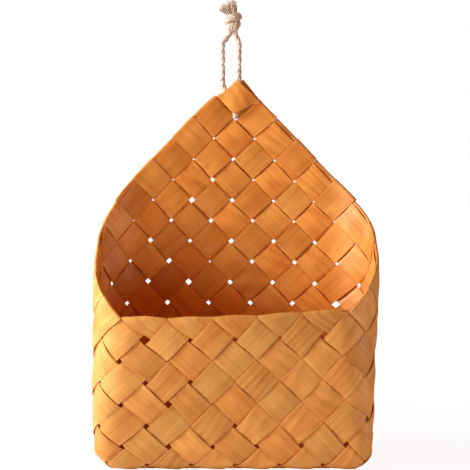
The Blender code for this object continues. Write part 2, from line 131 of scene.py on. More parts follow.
# Gaps between neighbouring straps: their mean, their spread, how they close to the rim, their limits
MEAN_GAP = 4.1 * MM
GAP_SPREAD = 1.2 * MM
RIM_GAP = 0.3 * MM
GAP_RISE = 1.5 * MM
OUTER_GAP = 6.2 * MM
SMALLEST_GAP = 0.2 * MM

# Seen gaps in mm, right-leaning and left-leaning, in rows that start at these half cells of u and v
SEEN_GAPS = {
    (-4, 6): ((7.4, 7.6), (4.0, 4.2), (4.4, 4.0), (3.2, 3.0), (5.4, 8.0)),
    (-5, 5): ((4.0, 4.2), (1.2, 3.4), (0.9, 1.0), (0.7, 0.9), (0.7, 1.3), (0.6, 1.2)),
    (-4, 4): ((4.2, 4.6), (4.4, 4.2), (0.8, 2.6), (0.6, 0.8), (0.6, 0.7)),
    (-5, 3): ((3.8, 3.6), (6.0, 5.6), (0.9, 3.6), (0.7, 0.9), (0.8, 1.0), (0.6, 0.8)),
    (-4, 2): ((4.4, 4.8), (0.8, 3.4), (4.3, 4.0), (0.7, 1.2), (0.6, 0.9)),
    (15, 17): ((0.5, 0.5), (0.5, 0.5)),
    (16, 16): ((3.6, 3.6),),
    (15, 13): ((1.8, 1.8),),
    (14, 12): ((2.4, 2.4),),
    (18, 12): ((4.8, 4.6),),
    (13, 11): ((2.0, 2.0), (2.6, 2.8)),
    (14, 10): ((3.2, 3.2),),
    (18, 10): ((3.0, 3.0),),
    (11, 9): ((2.4, 2.6), (3.3, 3.3)),
    (17, 9): ((1.6, 1.6),),
    (14, 8): ((3.4, 3.4),),
    (11, 7): ((5.2, 5.0),),
    (21, 7): ((3.2, 3.2),),
}

# Rows and columns of a strap
COLUMN_SHARES = (-1.0, -0.965, -0.75, -0.5, -0.25, 0.0, 0.25, 0.5, 0.75, 0.965, 1.0)
ROW_SHARES = (-0.5, -0.452, -0.405, -0.308, -0.206, -0.105, 0.0, 0.105, 0.206, 0.308, 0.405, 0.452)
FOLD_STEPS = 8
SLANT_STEPS = 9
TAIL_STEPS = 6

# Share of the bow that is missing at the edges of a strap
BOW_EDGE_SHARE = 0.25

# The flap of the apex: where its end lies along it in mm, from its left edge to its right one
FLAP_END = ((-1.0, -19.0), (-0.46, -13.4), (1.0, -10.4))
FLAP_COVER = 2.8 * MM
FLAP_FALL = 14.0 * MM
FLAP_LEAST_SHARE = 0.35

# Where the straps fold on the slanted rims, below and above a height in cells, and how loosely
LOW_FOLD = HALF_STRAP + 0.3 * MM
HIGH_FOLD = HALF_STRAP + 2.4 * MM
FOLD_CHANGE_FROM = 5.3
FOLD_CHANGE_REACH = 0.8
SLANTED_LOOSENESS = 1.0 * MM
LEVEL_LOOSENESS = 0.8 * MM

# The wood: how the straps differ in tone, in green against red, in their arches and their grain
TONE_RANGE = (0.88, 1.08)
GREEN_RANGE = (0.9, 1.07)
ARCH_SHARES = (0.0, 0.05, 0.14, 0.24)
GRAIN_RANGE = (0, 9)

# The painted highlight along the edge of a strap, and how far from the middle of the basket inner faces
# have the full painted shade
EDGE_HIGHLIGHT_REACH = 0.7 * MM
INSIDE_SHADE_DEPTH = 12.0 * MM

# The twine, with its places from the apex of the gable, as in the part's source
TWINE_RADIUS = 2.0 * MM
TWINE_CLEARANCE = 0.3 * MM
TWINE_BEND = 2.4 * MM
AXIS_ABOVE_APEX = 10.0 * MM
LEFT_LEG_X = -11.8 * MM
RIGHT_LEG_X = 4.1 * MM
KNOT_BOTTOM = 43.7 * MM
KNOT_HEIGHT = 16.2 * MM
LEFT_END_X = -4.7 * MM
RIGHT_END_X = 0.5 * MM

# The tails: places in mm from the top of the knot, across and up
LEFT_TAIL_ROUTE = ((2.4, -5.0), (0.4, -1.8), (-2.6, 1.6), (-6.0, 4.4), (-9.4, 6.4))
RIGHT_TAIL_ROUTE = ((-1.0, -5.0), (-1.4, 0.0), (-2.0, 4.0), (-3.4, 8.4), (-5.2, 12.8))

# The legs: points to each stretch of their route
ROUTE_SPANS = 8

# The plies, in steps along the twine: their offset and radius, as shares of the twine's radius
TWINE_STEP = 0.55 * MM
PLY_COUNT = 2
PLY_OFFSET_SHARE = 0.36
PLY_RADIUS_SHARE = 0.86

# Loose fibres, in mm, with the radius at shares of their length, and the fibres of the tails
TWINE_SEED = 11
FUZZ_REACH = (0.7, 1.7)
FUZZ_LEAN = 1.1
FUZZ_SWAY = 0.4
FUZZ_LINE = ((0.0, 0.07), (0.3, 0.06), (0.65, 0.05), (1.0, 0.02))
FRAY_SPREAD = (0.6, 1.7)
FRAY_CURL = 0.6
FRAY_RADIUS = (0.24, 0.44)
FRAY_STEPS_SHORT = 5

# The knot in mm: places across of its strands and their depth, then middles and sizes of its wraps
KNOT_STRANDS = (
    (-4.7, -4.6, -3.0, -2.4), (-3.2, -2.4, -1.4, -3.6), (-1.2, 0.7, 0.4, -3.8), (0.5, 3.6, 1.6, -2.2),
    (-4.2, -3.8, -2.4, 1.8), (-2.0, -0.4, 0.0, 3.0), (0.4, 2.8, 1.2, 1.8),
)
STRAND_HEIGHTS = (-0.4, 1.6, 4.8, 8.4, 11.0)
KNOT_WRAPS = ((-2.0, 9.6, 6.9, 6.4, 0.36), (-1.6, 13.0, 5.2, 4.6, 0.30))
KNOT_TWIST = 0.45
STRAND_FUZZ = 8
WRAP_FUZZ = 14
WRAP_STEPS = 12

# The camera stands where the photograph was taken from
CAMERA_PLACE = (0.0, -1.1055, 0.2775)
CAMERA_TILT = 0.0563
CAMERA_LENS = 90.2

# The floor: its glow for the camera, which is full from FLOOR_FAR on and a share of that up close
FLOOR_SIZE = 6.0
FLOOR_GLOW = 1.06
FLOOR_NEAR = 0.2
FLOOR_FAR = 0.7
FLOOR_NEAR_SHARE = 0.87

# The lamps: their size and place, and the point that they face
WHITE = (1.0, 1.0, 1.0)
KEY_LAMP = (0.5, (-1.5, -0.3, 0.68))
FILL_LAMP = (0.7, (-1.15, -0.9, 0.2))
SIDE_LAMP = (0.4, (1.5, -0.45, 0.12))
LIT_PLACE = Vector((0.0, 0.0, 0.17))


# Places on the lattice, as in the part's source

def side_at(u):
    """Number of the wall at u: 0 front, 1 right, 2 back, 3 left."""
    u = (u + HALF_WIDTH_COUNT) % ROUND_COUNT - HALF_WIDTH_COUNT
    for side in range(3):
        if u < side * QUARTER_COUNT + half_run(side):
            return side
    return 3


def half_run(side):
    """Half of the length of a wall, in cells."""
    return HALF_DEPTH_COUNT if side % 2 else HALF_WIDTH_COUNT


def half_out(side):
    """Distance of a wall from the middle of the basket, in cells."""
    return HALF_WIDTH_COUNT if side % 2 else HALF_DEPTH_COUNT


def turn(side, along, out):
    """Turns a place along and out of a wall into x and y."""
    x, y = along, -out
    for _ in range(side):
        x, y = -y, x
    return x, y


def unturn(side, x, y):
    """The reverse of turn."""
    for _ in range(side):
        x, y = y, -x
    return x, -y


def eased(share):
    """A straight ramp from 0 to 1 with its two ends eased."""
    share = min(max(share, 0.0), 1.0)
    if share > 0.5:
        return 1.0 - eased(1.0 - share)
    if share < EASE_SHARE:
        return share**2 / (2.0 * EASE_SHARE) / (1.0 - EASE_SHARE)
    return (share - EASE_SHARE / 2) / (1.0 - EASE_SHARE)


def smooth(share):
    """A soft step from 0 to 1."""
    share = min(max(share, 0.0), 1.0)
    return share * share * (3.0 - 2.0 * share)


def bend(distance, flat, radius):
    """The flat part of a distance from the middle of a face, and the tangent of its bend."""
    over = max(abs(distance) - flat, 0.0)
    kept = math.copysign(min(abs(distance), flat), distance)
    return kept, math.copysign(math.tan(over / radius), distance)


def section(side, along, radius):
    """Place along and out of a wall on a level section whose corners have this radius."""
    arc = radius * math.pi / 4
    kept, slope = bend(along, half_run(side) * CELL - arc, radius)
    reach = radius / math.hypot(slope, 1.0)
    return kept + slope * reach, half_out(side) * CELL - arc + reach


def cells_from(start, u):
    """How far u lies from a start round the basket, in cells, the short way."""
    return (u - start + APEX_COUNT) % ROUND_COUNT - APEX_COUNT


def wall_point(u, v):
    """Middle of the wall at (u, v), for v of 0 or more."""
    side = side_at(u)
    along = cells_from(side * QUARTER_COUNT, u) * CELL
    arc = BASE_RADIUS * math.pi / 4
    kept, slope = bend(along, half_run(side) * CELL - arc, BASE_RADIUS)
    fall = math.tan(max(arc - v * CELL, 0.0) / BASE_RADIUS)
    reach = BASE_RADIUS / math.sqrt(slope**2 + fall**2 + 1.0)
    opened = BASE_RADIUS + (RIM_RADIUS - BASE_RADIUS) * eased(v / OPENING_RISE_COUNT)
    wide, far = section(side, along, opened)
    narrow, near = section(side, along, BASE_RADIUS)
    tangent = kept + slope * reach + wide - narrow
    out = half_out(side) * CELL - arc + reach + far - near
    x, y = turn(side, tangent, out)
    z = BASE_RADIUS - fall * reach + max(v * CELL - arc, 0.0)
    return Vector((x, y - (opened - BASE_RADIUS) * (1.0 - math.pi / 4), z))


def base_point(x_cells, y_cells):
    """Middle of the base at a place given in cells from its centre."""
    arc = BASE_RADIUS * math.pi / 4
    x_kept, x_slope = bend(x_cells * CELL, HALF_WIDTH_COUNT * CELL - arc, BASE_RADIUS)
    y_kept, y_slope = bend(y_cells * CELL, HALF_DEPTH_COUNT * CELL - arc, BASE_RADIUS)
    reach = BASE_RADIUS / math.sqrt(x_slope**2 + y_slope**2 + 1.0)
    return Vector((x_kept + x_slope * reach, y_kept + y_slope * reach, BASE_RADIUS - reach))


def even_point(u, v, side):
    """Middle of the wall or base at (u, v), seen from the wall with this number."""
    if v >= 0.0:
        return wall_point(u, v) + BODY_SHIFT
    return base_point(*turn(side, u - side * QUARTER_COUNT, half_out(side) + v)) + BODY_SHIFT


# The same surface as a hand leaves it

def wandered(u, v):
    """The place that (u, v) has on a basket plaited by hand: near the even one."""
    low = smooth(v)
    if low == 0.0:
        return u, v
    front = cells_from(0, u)
    back = u % ROUND_COUNT - APEX_COUNT
    reach = abs(front)
    tilt = FRONT_TILT_SHARE + RIM_TILT_SHARE * smooth((v - RIM_TILT_FROM) * 2.0)
    rise = math.copysign(min(reach, HALF_WIDTH_COUNT), front) * smooth((TILT_REACH - reach) / TILT_FADE)
    rise *= tilt
    drift = BACK_DRIFT / CELL * max(1.0 - DRIFT_FADE_SHARE * (v - FRONT_RISE_COUNT), 0.0)
    moved_u = drift * smooth((DRIFT_REACH - abs(back)) / DRIFT_FADE)
    for at_u, at_v, shift_u, shift_v, size in HAND_SHIFTS:
        share = math.exp(-(cells_from(at_u, u)**2 + (v - at_v)**2) / size**2)
        moved_u += share * shift_u * MM / CELL
        rise += share * shift_v * MM / CELL
    return u + low * moved_u, v + low * rise


def surface_point(u, v, side):
    """Middle of the hand-plaited wall or base at (u, v)."""
    if v <= 0.0:
        return even_point(u, v, side)
    point = even_point(*wandered(u, v), side)
    swell = 0.0
    for way, height, distance, reach in SIDE_SWELLS:
        beyond = smooth(way * point.x / CELL - SWELL_FROM)
        swell += way * distance * MM * math.exp(-((v - height) / reach)**2) * beyond
    hollow = min(abs(point.x) / HOLLOW_REACH, HOLLOW_LIMIT)**2 * smooth(v / 2.0) * smooth(point.y / CELL)
    return point + Vector((swell * smooth(v * 3.0), -hollow * BACK_HOLLOW, 0.0))


def lifted(place, side, height, shift=(0.0, 0.0)):
    """The point at a height over (u, v), with its foot shifted by so many cells."""
    u, v = place
    along = surface_point(u + SLOPE_SHARE, v, side) - surface_point(u - SLOPE_SHARE, v, side)
    upward = surface_point(u, v + SLOPE_SHARE, side) - surface_point(u, v - SLOPE_SHARE, side)
    normal = along.cross(upward).normalized()
    return surface_point(u + shift[0], v + shift[1], side) + normal * height


# The plait: straps, layers and ends, as in the part's source

def rim_at(u):
    """Height of the rim at u: level in front, then rising round the sides to the apex."""
    return max(FRONT_RISE_COUNT, abs(cells_from(0, u)) + GABLE_RISE_COUNT)


def cell_key(place):
    """Whole-number name of a crossing."""
    return round(2 * place[1]) % (2 * ROUND_COUNT), round(2 * place[2])


def is_front_end(place):
    """Whether a strap that ends at this crossing ends on the level front rim."""
    return place[2] == FRONT_RISE_COUNT and rim_at(place[1]) == FRONT_RISE_COUNT


def flipped(place):
    """The same crossing with its strap run the other way."""
    side, u, v, rise_u, rise_v = place
    return side, u, v, -rise_u, -rise_v


def moved(place, step_u, step_v):
    """The crossing at this many cells from another, with the strap's direction kept."""
    side, u, v, rise_u, rise_v = place
    return side, u + step_u, v + step_v, rise_u, rise_v


def family(place):
    """R for a strap that leans to the right as seen from outside, L for the other way."""
    return "R" if place[3] * place[4] > 0 else "L"


def wall_run(side, u, rise):
    """Crossings of a strap from the base fold up to the rim."""
    places = []
    while len(places) / 2 <= rim_at(u + rise * len(places) / 2):
        climbed = len(places) / 2
        places.append((side, u + rise * climbed, climbed, rise, 1))
    return places


def base_run(side, u, rise):
    """Crossings under the base, then the wall, place and direction where the strap comes out."""
    x, y = turn(side, u - side * QUARTER_COUNT, half_out(side))
    step_x, step_y = turn(side, rise, -1)
    places = []
    while True:
        x += step_x / 2
        y += step_y / 2
        for wall in range(4):
            along, out = unturn(wall, x, y)
            along_step, out_step = unturn(wall, step_x, step_y)
            if out == half_out(wall) and out_step > 0:
                return places, (wall, along + wall * QUARTER_COUNT, along_step)
        places.append((0, x, -y - HALF_DEPTH_COUNT, step_x, -step_y))


def all_straps():
    """Every strap once, as its crossings from one rim down, under the base and up again."""
    straps = []
    seen = set()
    for side in range(4):
        for step in range(2 * half_run(side)):
            u = side * QUARTER_COUNT - half_run(side) + step + 1 / 2
            for rise in (-1, 1):
                under, out = base_run(side, u, rise)
                if out in seen:
                    continue
                seen.add((side, u, -rise))
                down = [flipped(place) for place in reversed(wall_run(side, u, -rise))]
                straps.append(down + under + wall_run(*out))
    return straps


def lean_of(places):
    """Which way a strap leans where it crosses the base, seen from the front and above."""
    under = [place for place in places if place[2] < 0.0] or [places[len(places) // 2]]
    return "right" if family(under[0]) == "R" else "left"


def is_apex_end(place):
    """Whether this is the strap end that folds to the inside at the top of the gable."""
    return family(place) == "R" and place[1] % ROUND_COUNT == APEX_COUNT


def tail_places(place):
    """Crossings that hold the tail of a strap end, each with what the tail lies on there."""
    own = family(place)
    other = "L" if own == "R" else "R"
    own_outside = (cell_key(place)[0] % 2 == 1) == (own == "R")
    if is_front_end(place):
        under = moved(place, 1 / 2, -1 / 2)
        return [(place, other), (under, other)] if own == "R" else []
    if is_apex_end(place):
        return [(place, "under R")]
    back = [moved(place, -place[3] * n / 2, -n / 2) for n in range(2 if own_outside else 3)]
    lies_on = [own if own_outside else other] + [own] * (len(back) - 1)
    return list(zip(back, lies_on))


def find_tails(straps):
    """For each crossing that holds a tail, its name and what it lies on."""
    tails = {}
    for strap in straps:
        for end in (flipped(strap[0]), strap[-1]):
            for place, lies_on in tail_places(end):
                tails.setdefault(cell_key(place), []).append((family(end) + " tail", lies_on))
    return tails


def layers_at(place, tails):
    """The straps and tails at one crossing, from the inside of the basket outwards."""
    key = cell_key(place)
    order = ["L", "R"] if key[0] % 2 else ["R", "L"]
    for name, lies_on in tails.get(key, []):
        if lies_on == "under R":
            order.insert(order.index("R"), name)
        else:
            order.insert(order.index(lies_on) + 1, name)
    return order


def level_at(place, who, tails):
    """Height of a strap or a tail over the middle of the wall at one crossing."""
    order = layers_at(place, tails)
    return (order.index(who) - (len(order) - 1) / 2) * LAYER_STEP


def lattice_place(place, along, across):
    """(u, v) at distances along a strap and to its right, from one of its crossings."""
    _, u, v, rise_u, rise_v = place
    step = DIAGONAL / CELL
    return u + (rise_u * along + rise_v * across) * step, v + (rise_v * along - rise_u * across) * step


# Strap shapes

class Plait:
    """The crossings of all straps, with how far each strap lies off its even line there."""

    def __init__(self, settings):
        self.straps = all_straps()
        self.tails = find_tails(self.straps)
        self.bow = settings.bow
        self.half = settings.width / 2
        self.gaps = {}
        draw = random.Random(settings.seed)
        for half_u in range(2 * ROUND_COUNT):
            for half_v in range(half_u % 2, 2 * int(APEX_COUNT) + 3, 2):
                spread = [draw.uniform(-1.0, 1.0) * settings.wander for _ in "RL"]
                below = max(rim_at(half_u / 2) - half_v / 2, 0.0)
                mean = min(RIM_GAP + GAP_RISE * below, MEAN_GAP)
                pair = [max(mean + off * mean / MEAN_GAP, SMALLEST_GAP) for off in spread]
                if below == 0.0 and half_v > 2 * FRONT_RISE_COUNT:
                    if half_u <= ROUND_COUNT:
                        pair[0] = OUTER_GAP
                    if half_u >= ROUND_COUNT:
                        pair[1] = OUTER_GAP
                self.gaps[half_u, half_v] = pair
        for (half_u, half_v), pairs in SEEN_GAPS.items():
            for n, pair in enumerate(pairs):
                self.gaps[(half_u + 2 * n) % (2 * ROUND_COUNT), half_v] = [gap * MM for gap in pair]

    def gap(self, along, line, lean):
        """The gap at a corner: whole numbers along and across the straps that lean this way."""
        total, change = (along, line) if lean == "R" else (line, along)
        key = (total + change) % (2 * ROUND_COUNT), total - change
        return self.gaps.get(key, (RIM_GAP, RIM_GAP))["RL".index(lean)]

    def widening(self, u, v, lean):
        """How much further than even the edge of a strap reaches, at a place midway to the next."""
        if v <= 0.0:
            return 0.0
        along, line = (u + v, u - v) if lean == "R" else (u - v, u + v)
        low = math.floor(along)
        first, second = (self.gap(low + n, round(line), lean) for n in (0, 1))
        return smooth(2.0 * v) * (STRAP_SPACING - first - (second - first) * smooth(along - low)) / 2

    def stop(self, place, centre, who):
        """The stretch of a strap that lies on a crossing: start, end, level and bow."""
        order = layers_at(place, self.tails)
        bow = 0.0
        if place[2] >= 0.0 and who in (order[0], order[-1]):
            bow = self.bow if who == order[-1] else -self.bow
        return centre - HALF_STRAP, centre + HALF_STRAP, level_at(place, who, self.tails), bow


def level_along(stops, at, across):
    """Height of a strap at a distance along it, from the stops that it lies on."""
    before = None
    for start, end, level, bow in stops:
        if at < start:
            if before is None:
                return level
            return before[2] + (level - before[2]) * smooth((at - before[1]) / (start - before[1]))
        if at <= end:
            share = (2.0 * at - start - end) / (end - start)
            return level + bow * (1.0 - share**2)**2 * (1.0 - BOW_EDGE_SHARE * across**2)
        before = (start, end, level, bow)
    return before[2]


def flap_end(share):
    """Where the flap of the apex ends along it."""
    for (low, start), (high, stop) in zip(FLAP_END, FLAP_END[1:]):
        if share <= high:
            return (start + (stop - start) * (share - low) / (high - low)) * MM
    return FLAP_END[-1][1] * MM


class Ribbon:
    """Half of a strap, row by row, from the middle of the strap to its tail's end.

    Distances along it are taken from its last crossing, but for those in stops and in the rows,
    which start at the first one. A row holds a point for each column, with its place in the UV map.
    """

    def __init__(self, plait, places):
        self.plait = plait
        self.places = places
        self.end = places[-1]
        self.length = (len(places) - 1) * PITCH
        self.stops = [plait.stop(place, n * PITCH, family(place)) for n, place in enumerate(places)]
        self.rows = []

    def level(self, along, share):
        """Height of the strap itself."""
        return level_along(self.stops, self.length + along, share)

    def tail_stops(self):
        """The stops of the tail, from the crossing that the strap ends on."""
        who = family(self.end) + " tail"
        return [self.plait.stop(place, n * PITCH, who)
                for n, (place, _) in enumerate(tail_places(self.end))]

    def across_at(self, place, along, share, slant=0.0, over=False):
        """Distance to the right of the middle, for a share of the half width."""
        side = math.copysign(1.0, share)
        u, v = lattice_place(place, along + slant * side * HALF_STRAP, side * PITCH / 2)
        lean = family(place)
        if over:
            v, lean = 2.0 * place[2] - v, "L"
        return share * (self.plait.half + self.plait.widening(u, v, lean))

    def main_row(self, number, centre, slant):
        """One row across the strap itself, at a distance along it from one crossing."""
        row = []
        place = self.places[number]
        for share in COLUMN_SHARES:
            across = self.across_at(place, centre, share, slant)
            along = centre + slant * across
            at = number * PITCH + along
            height = level_along(self.stops, at, share)
            point = lifted(lattice_place(place, along, across), place[0], height)
            row.append((point, (at, share * HALF_STRAP)))
        self.rows.append(row)

    def run_to(self, last_at):
        """Rows over every crossing but the last, and up to a distance on that one."""
        for number in range(len(self.places)):
            for share in ROW_SHARES:
                if number < len(self.places) - 1 or share * PITCH < last_at - MM:
                    self.main_row(number, share * PITCH, 0.0)

    def fold(self, middle, slant, level, tail_level, up):
        """Rows of the turn from the strap to its tail, round a line across it."""
        for step in range(FOLD_STEPS + 1):
            angle = math.pi * step / FOLD_STEPS
            row = []
            for share in COLUMN_SHARES:
                across = self.across_at(self.end, middle, share, slant)
                along = middle + slant * across
                low = level(along, share)
                half = (tail_level(along, share) - low) / 2
                rise = abs(half) * math.sin(angle) / CELL
                point = lifted(lattice_place(self.end, along, across), self.end[0],
                               low + half * (1.0 - math.cos(angle)), (up[0] * rise, up[1] * rise))
                at = self.length + along + abs(half) * angle
                row.append((point, (at, share * HALF_STRAP)))
            self.rows.append(row)

    def front_tail(self, heights):
        """The tail that is folded over the level front rim, down along its neighbour."""
        spans = [(n / SLANT_STEPS * PITCH / 2, 1.0 - n / SLANT_STEPS) for n in range(1, SLANT_STEPS + 1)]
        spans += [((1.0 + n / TAIL_STEPS) * PITCH / 2, 0.0) for n in range(1, TAIL_STEPS + 1)]
        for centre, slant in spans:
            row = []
            for share in COLUMN_SHARES:
                folded = self.across_at(self.end, 0.0, share, 1.0)
                across = self.across_at(self.end, centre, share, slant, True)
                across += (folded - across) * slant
                along = centre + slant * across
                u, v = lattice_place(self.end, along, across)
                point = lifted((u, 2.0 * self.end[2] - v), self.end[0], heights(along, share))
                at = self.length + along + 2.0 * LAYER_STEP
                row.append((point, (at, share * HALF_STRAP)))
            self.rows.append(row)

    def back_tail(self, start, finish, heights):
        """The tail that is folded back along its own strap."""
        steps = max(round((start - finish(0.0)) / PITCH * len(ROW_SHARES)), TAIL_STEPS)
        for step in range(1, steps + 1):
            row = []
            for share in COLUMN_SHARES:
                along = start + (finish(share) - start) * step / steps
                place = lattice_place(self.end, along, self.across_at(self.end, along, share))
                point = lifted(place, self.end[0], heights(along, share))
                row.append((point, (self.length + 2.0 * start - along, share * HALF_STRAP)))
            self.rows.append(row)

    def front_end(self):
        """The end on the level front rim: leaning to the right it folds over, else it is cut."""
        folds = family(self.end) == "R"
        way, stop_at = (1.0, 0.0) if folds else (-1.0, -RIM_TRIM / DIAGONAL)
        self.run_to(-PITCH / 2 + MM)
        for n in range(1, SLANT_STEPS + (not folds)):
            share = n / SLANT_STEPS
            self.main_row(len(self.places) - 1, -PITCH / 2 + (PITCH / 2 + stop_at) * share, way * share)
        if not folds:
            return
        stops = self.tail_stops()

        def turned(along, share):
            from_fold = (along - share * HALF_STRAP) / PITCH
            return level_along(stops, along, share) + LEVEL_LOOSENESS * smooth(1.0 - 3.0 * from_fold)

        self.fold(0.0, 1.0, self.level, turned, (0.0, 1.0))
        self.front_tail(turned)

    def apex_end(self, onward):
        """The end that folds to the inside at the apex, as a pocket round the twine."""
        main = level_at(self.end, "R", self.plait.tails)
        self.run_to(HALF_STRAP)

        def pocket(along, share):
            x = -(along + share * HALF_STRAP) * DIAGONAL
            z = (along - share * HALF_STRAP) * DIAGONAL
            away_from = abs(x - RIGHT_LEG_X * smooth(z / CELL + 1 / 2))
            cover = smooth(1.0 - (away_from - FLAP_COVER) / FLAP_FALL)
            room = FLAP_LEAST_SHARE + (1.0 - FLAP_LEAST_SHARE) * cover
            return main - STRAP_THICKNESS - TWINE_ROOM * room

        self.fold(HALF_STRAP, 0.0, lambda along, share: main, pocket, onward)
        self.back_tail(HALF_STRAP, flap_end, pocket)

    def slanted_end(self, onward):
        """The end on a slanted rim, folded back along its own strap."""
        high = smooth((self.end[2] - FOLD_CHANGE_FROM) / FOLD_CHANGE_REACH)
        fold_at = LOW_FOLD + (HIGH_FOLD - LOW_FOLD) * high
        self.run_to(fold_at)
        stops = self.tail_stops()

        def loose(along, share):
            return level_along(stops, -along, share) + SLANTED_LOOSENESS * smooth(along / fold_at)

        self.fold(fold_at, 0.0, self.level, loose, onward)
        self.back_tail(fold_at, lambda share: -(len(stops) - 1) * PITCH, loose)

    def build(self):
        """All rows of the half strap."""
        onward = (self.end[3] * DIAGONAL, self.end[4] * DIAGONAL)
        if is_front_end(self.end):
            self.front_end()
        elif is_apex_end(self.end):
            self.apex_end(onward)
        else:
            self.slanted_end(onward)
        return self.rows


def strap_rows(plait, places):
    """All rows of one strap, from the end of one tail to the end of the other."""
    middle = len(places) // 2
    back = Ribbon(plait, [flipped(place) for place in reversed(places[:middle])]).build()
    front = Ribbon(plait, places[middle:]).build()
    turned = []
    for row in reversed(back[1:]):
        turned.append([(point, (-at - PITCH, -across)) for point, (at, across) in reversed(row)])
    return turned + front


def strap_mesh(name, rows):
    """A grid laid along the rows of a strap, with a UV map in metres along and across it."""
    wide, long = len(COLUMN_SHARES) - 1, len(rows) - 1
    mesh = bmesh.new()
    bmesh.ops.create_grid(mesh, x_segments=wide, y_segments=long, size=1.0)
    places = {}
    for vert in mesh.verts:
        column = round((vert.co.x + 1.0) / 2.0 * wide)
        row = round((vert.co.y + 1.0) / 2.0 * long)
        point, place = rows[row][column]
        vert.co = point
        places[vert] = place
    layer = mesh.loops.layers.uv.new("UVMap")
    for face in mesh.faces:
        face.smooth = True
        for loop in face.loops:
            loop[layer].uv = places[loop.vert]
    data = bpy.data.meshes.new(name)
    mesh.to_mesh(data)
    mesh.free()
    return data


# Materials

def feed(node, inputs):
    """Links the inputs of a node to these sockets, or sets them to these values."""
    for key, value in inputs.items():
        if isinstance(value, bpy.types.NodeSocket):
            node.id_data.links.new(value, node.inputs[key])
        else:
            node.inputs[key].default_value = value


def add(tree, kind, inputs, **settings):
    """Adds a shader node and gives its outputs."""
    node = tree.nodes.new("ShaderNode" + kind)
    for key, value in settings.items():
        setattr(node, key, value)
    feed(node, inputs)
    return node.outputs


def mixed(tree, factor, first, second):
    """A mix of two values."""
    return add(tree, "Mix", {"Factor": factor, 2: first, 3: second}, data_type="FLOAT")[0]


def tinted(tree, factor, colour, tint, blend_type):
    """A colour mixed with or multiplied by a tint, by a factor."""
    inputs = {"Factor": factor, 6: colour, 7: (*tint, 1.0)}
    return add(tree, "Mix", inputs, data_type="RGBA", blend_type=blend_type)[2]


def mapped(tree, value, start, stop, low=0.0, high=1.0):
    """A value moved from one range to another."""
    ranges = {"From Min": start, "From Max": stop, "To Min": low, "To Max": high}
    return add(tree, "MapRange", {"Value": value, **ranges})["Result"]


def bumped(tree, height, strength, distance):
    """The normal of a bumpy surface."""
    return add(tree, "Bump", {"Height": height, "Strength": strength, "Distance": distance})["Normal"]


def ramped(tree, value, stops):
    """A colour ramp with these places and colours."""
    node = tree.nodes.new("ShaderNodeValToRGB")
    while len(node.color_ramp.elements) < len(stops):
        node.color_ramp.elements.new(0.5)
    for element, (place, colour) in zip(node.color_ramp.elements, stops):
        element.position = place
        element.color = (*colour, 1.0)
    feed(node, {"Fac": value})
    return node.outputs["Color"]


def speckles(tree, scale, roughness=0.5):
    """Noise through the object, with this many spots to the metre."""
    where = add(tree, "TexCoord", {})["Object"]
    inputs = {"Vector": where, "Scale": scale, "Detail": 3.0, "Roughness": roughness}
    return add(tree, "TexNoise", inputs)["Fac"]


def new_material(name):
    """A material, its node tree and its shader."""
    material = bpy.data.materials.new(name)
    material.use_nodes = True
    return material, material.node_tree, material.node_tree.nodes["Principled BSDF"]


def wood_material(name, pale, deep, worn, inside, shift, arches):
    """Satin veneer: streaks along the strap, a painted highlight along its edges and painted shade, darker
    and redder, inside the basket.
    """
    material, tree, shader = new_material(name)
    where = add(tree, "TexCoord", {})

    def figure(kind, scale, place, inputs, **settings):
        """A texture with so many repeats to the metre, along the strap and across it."""
        stretch = {"Vector": where["UV"], "Location": (place, place * 0.37, 0.0), "Scale": (*scale, 1.0)}
        vector = add(tree, "Mapping", stretch)["Vector"]
        return add(tree, kind, {"Vector": vector, "Scale": 1.0, **inputs}, **settings)["Fac"]

    broad = figure("TexNoise", (14.0, 90.0), shift,
                   {"Detail": 2.0, "Roughness": 0.5, "Distortion": 0.4})
    streaks = figure("TexNoise", (12.0, 420.0), shift * 1.3,
                     {"Detail": 3.0, "Roughness": 0.6, "Distortion": 0.3})
    fine = figure("TexNoise", (40.0, 1500.0), shift * 1.7, {"Detail": 4.0, "Roughness": 0.65})
    arch = figure("TexWave", (10.0, 60.0), shift * 0.6,
                  {"Distortion": 4.0, "Detail": 1.5, "Detail Scale": 0.7},
                  wave_type="RINGS", rings_direction="Z")
    grain = mixed(tree, 0.42, mixed(tree, arches, broad, arch), streaks)
    grain = mixed(tree, 0.12, grain, fine)
    middle = [(a + b) / 2 for a, b in zip(pale, deep)]
    colour = ramped(tree, grain, ((0.34, deep), (0.5, middle), (0.66, pale)))

    # Painted highlight: the face is mixed towards the paler cut-edge colour near its long edges.
    across = add(tree, "SeparateXYZ", {"Vector": where["UV"]})["Y"]
    distance = add(tree, "Math", {0: across}, operation="ABSOLUTE")["Value"]
    painted_edge_highlight = mapped(tree, distance, HALF_STRAP - EDGE_HIGHLIGHT_REACH, HALF_STRAP, 0.0, 0.6)
    colour = tinted(tree, painted_edge_highlight, colour, worn, "MIX")

    # Painted shade: faces turned towards the basket's axis are multiplied by the inside tint, darker and
    # redder, to stand for the shade and red bounce light inside the basket.
    facing = add(tree, "NewGeometry", {})["True Normal"]
    from_axis = add(tree, "Mapping", {"Vector": where["Object"], "Scale": (1.0, 1.0, 0.0)})["Vector"]
    outward = add(tree, "VectorMath", {0: facing, 1: from_axis}, operation="DOT_PRODUCT")["Value"]
    colour = tinted(tree, mapped(tree, outward, 0.0, -INSIDE_SHADE_DEPTH), colour, inside, "MULTIPLY")

    feed(shader, {
        "Base Color": colour,
        "Roughness": mapped(tree, grain, 0.0, 1.0, 0.36, 0.52),
        "Specular IOR Level": 0.35,
        "Normal": bumped(tree, mixed(tree, 0.5, streaks, fine), 0.35, 0.12 * MM),
    })
    return material


